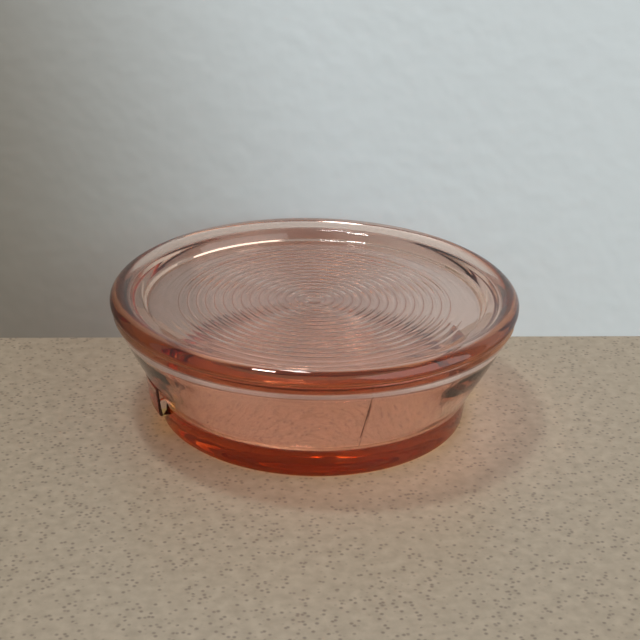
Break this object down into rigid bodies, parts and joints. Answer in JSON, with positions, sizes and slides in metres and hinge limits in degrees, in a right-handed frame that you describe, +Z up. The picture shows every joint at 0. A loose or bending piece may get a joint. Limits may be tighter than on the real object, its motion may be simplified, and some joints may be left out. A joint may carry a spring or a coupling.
{
  "type": "covered candy dish",
  "caption": "Round covered candy dish in pressed glass: flared bowl on a thick solid base with small tab lugs, and a ringed lid that drops into its mouth.",
  "frame": {"origin": "centre of the resting ring, on the surface the dish stands on", "axes": "+Z up along the dish's axis, +X through the middle of one lug"},
  "size_m": [0.146, 0.146, 0.0467],
  "materials": {
    "bowl_glass": "clear pink pressed glass, fire-polished",
    "lid_glass": "clear pink pressed glass, fire-polished, pressed rings"
  },
  "bodies": {
    "bowl": {"bowl": "bowl_glass"},
    "lid": {"lid": "lid_glass"}
  },
  "joints": [
    {"name": "lid_lift", "type": "slide", "parent": "bowl", "child": "lid", "axis": [0, 0, 1], "range_m": [0, 0.08]}
  ]
}
